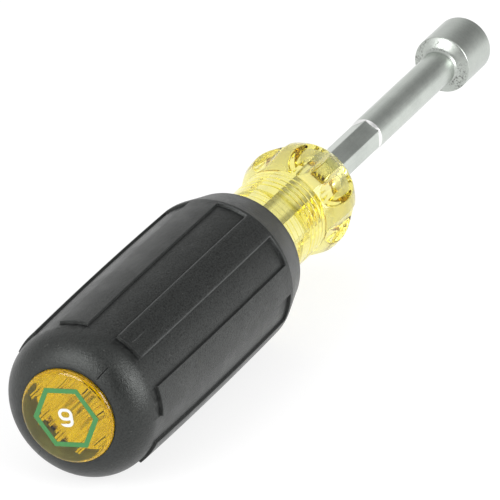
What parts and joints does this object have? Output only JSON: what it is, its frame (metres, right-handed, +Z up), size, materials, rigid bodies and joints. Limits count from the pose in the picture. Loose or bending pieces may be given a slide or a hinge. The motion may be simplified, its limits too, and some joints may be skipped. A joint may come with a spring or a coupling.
{
  "type": "nut driver",
  "caption": "Hand nut driver: ribbed rubber cushion grip on a clear yellow core with a fluted knob, a hollow steel shaft with a hex length, and a hex socket for turning nuts.",
  "frame": {"origin": "centre of the flat butt face of the handle", "axes": "+X along the tool from the butt to the socket's mouth, +Z up with the tool lying on its grip"},
  "size_m": [0.1873, 0.0334, 0.0334],
  "materials": {
    "clear_acetate": "polished clear yellow",
    "grip_rubber": "matt moulded",
    "satin_chrome": "satin plated",
    "green_print": "stamped foil",
    "white_print": "stamped foil"
  },
  "bodies": {
    "root": {"handle_core": "clear_acetate", "cushion_grip": "grip_rubber", "hollow_shaft": "satin_chrome", "hex_socket": "satin_chrome", "size_hexagon": "green_print", "size_numeral": "white_print"}
  },
  "joints": []
}
